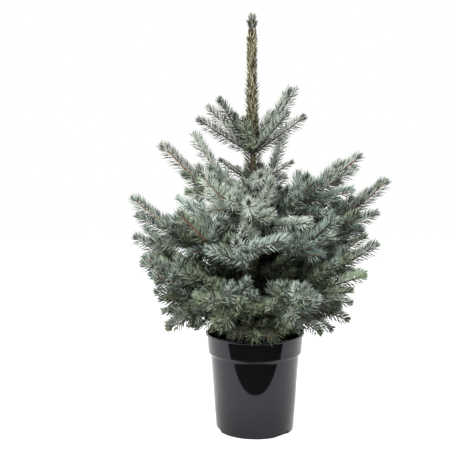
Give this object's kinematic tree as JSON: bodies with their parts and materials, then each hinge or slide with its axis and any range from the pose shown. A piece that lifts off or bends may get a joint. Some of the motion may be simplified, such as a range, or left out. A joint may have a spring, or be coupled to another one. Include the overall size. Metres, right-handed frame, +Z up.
{
  "type": "potted blue spruce",
  "caption": "Young blue spruce in a round black nursery pot: tapering trunk, tiers of boughs and separate foliage masses up to an upright leader.",
  "frame": {"origin": "centre of the pot's flat underside", "axes": "+Z up along the trunk, the front of the plant faces -Y, +X to its right seen from the front"},
  "size_m": [0.616, 0.5624, 0.973],
  "materials": {
    "pot_plastic": "gloss",
    "compost": "matte",
    "bark": "matte",
    "needles_leader": "matte",
    "needles_silver": "matte",
    "needles_blue": "matte",
    "needles_green": "matte",
    "needles_shade": "matte"
  },
  "bodies": {
    "root": {"pot": "pot_plastic", "soil": "compost", "trunk": "bark", "leader": "needles_leader", "bough_middle_1": "bark", "bough_middle_2": "bark", "bough_middle_3": "bark", "bough_middle_4": "bark", "bough_middle_5": "bark", "bough_middle_6": "bark", "bough_middle_7": "bark", "bough_lower_1": "bark", "bough_lower_2": "bark", "bough_lower_3": "bark", "bough_lower_4": "bark", "bough_lower_5": "bark", "bough_lower_6": "bark", "bough_lower_7": "bark", "foliage_top_1": "needles_silver", "foliage_top_2": "needles_silver", "foliage_top_3": "needles_silver", "foliage_top_4": "needles_silver", "foliage_top_5": "needles_silver", "foliage_top_6": "needles_silver", "foliage_top_7": "needles_silver", "foliage_top_8": "needles_silver", "foliage_upper_1": "needles_silver", "foliage_upper_2": "needles_silver", "foliage_upper_3": "needles_silver", "foliage_upper_4": "needles_silver", "foliage_upper_5": "needles_silver", "foliage_shoulder_1": "needles_blue", "foliage_shoulder_2": "needles_blue", "foliage_shoulder_3": "needles_blue", "foliage_shoulder_4": "needles_blue", "foliage_shoulder_5": "needles_blue", "foliage_shoulder_6": "needles_blue", "foliage_shoulder_7": "needles_blue", "foliage_middle_1": "needles_blue", "foliage_middle_2": "needles_blue", "foliage_middle_3": "needles_blue", "foliage_middle_4": "needles_blue", "foliage_middle_5": "needles_blue", "foliage_middle_6": "needles_blue", "foliage_middle_7": "needles_blue", "foliage_lower_1": "needles_green", "foliage_lower_2": "needles_green", "foliage_lower_3": "needles_green", "foliage_lower_4": "needles_green", "foliage_lower_5": "needles_green", "foliage_lower_6": "needles_green", "foliage_lower_7": "needles_green", "foliage_skirt_1": "needles_shade", "foliage_skirt_2": "needles_shade", "foliage_skirt_3": "needles_shade", "foliage_skirt_4": "needles_shade", "foliage_skirt_5": "needles_shade", "foliage_skirt_6": "needles_shade", "foliage_skirt_7": "needles_shade", "foliage_skirt_8": "needles_shade"}
  },
  "joints": []
}
